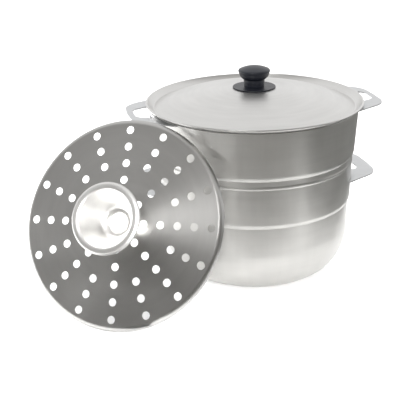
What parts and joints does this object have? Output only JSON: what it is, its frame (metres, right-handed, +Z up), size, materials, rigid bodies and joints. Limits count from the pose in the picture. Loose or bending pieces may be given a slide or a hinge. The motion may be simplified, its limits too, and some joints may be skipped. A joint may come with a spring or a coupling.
{
  "type": "steamer pot",
  "caption": "Spun aluminium steamer pot with a domed lid, flat riveted side ears and a perforated steaming plate with a raised funnel leaning beside it.",
  "frame": {"origin": "centre of the pot's flat base, where it stands on the surface", "axes": "+Z up along the pot's axis; -Y towards the side the object is seen from; the ears lie 12 degrees from the X axis"},
  "size_m": [0.5757, 0.4468, 0.3432],
  "materials": {
    "spun_aluminium": "spun, satin",
    "lid_aluminium": "spun, satin",
    "plate_aluminium": "spun, satin",
    "ear_aluminium": "pressed sheet",
    "rivet_aluminium": "plain",
    "black_phenolic": "moulded, half gloss",
    "insert_brass": "turned",
    "zinc_plated_steel": "zinc plated"
  },
  "bodies": {
    "pot": {"pot_body": "spun_aluminium", "upper_ear_left": "ear_aluminium", "upper_ear_right": "ear_aluminium", "lower_ear_left": "ear_aluminium", "lower_ear_right": "ear_aluminium", "upper_ear_left_rivets": "rivet_aluminium", "upper_ear_right_rivets": "rivet_aluminium", "lower_ear_left_rivets": "rivet_aluminium", "lower_ear_right_rivets": "rivet_aluminium"},
    "lid_group": {"lid": "lid_aluminium", "knob": "black_phenolic", "knob_base": "black_phenolic", "knob_insert": "insert_brass", "knob_screw": "zinc_plated_steel", "knob_washer": "zinc_plated_steel"},
    "plate": {"steamer_plate": "plate_aluminium", "plate_funnel": "plate_aluminium"}
  },
  "joints": [
    {"name": "lid_lift", "type": "slide", "parent": "pot", "child": "lid_group", "axis": [0, 0, 1], "range_m": [0, 0.3]},
    {"name": "plate_lift", "type": "slide", "parent": "pot", "child": "plate", "axis": [0, 0, 1], "range_m": [0, 0.3]}
  ]
}
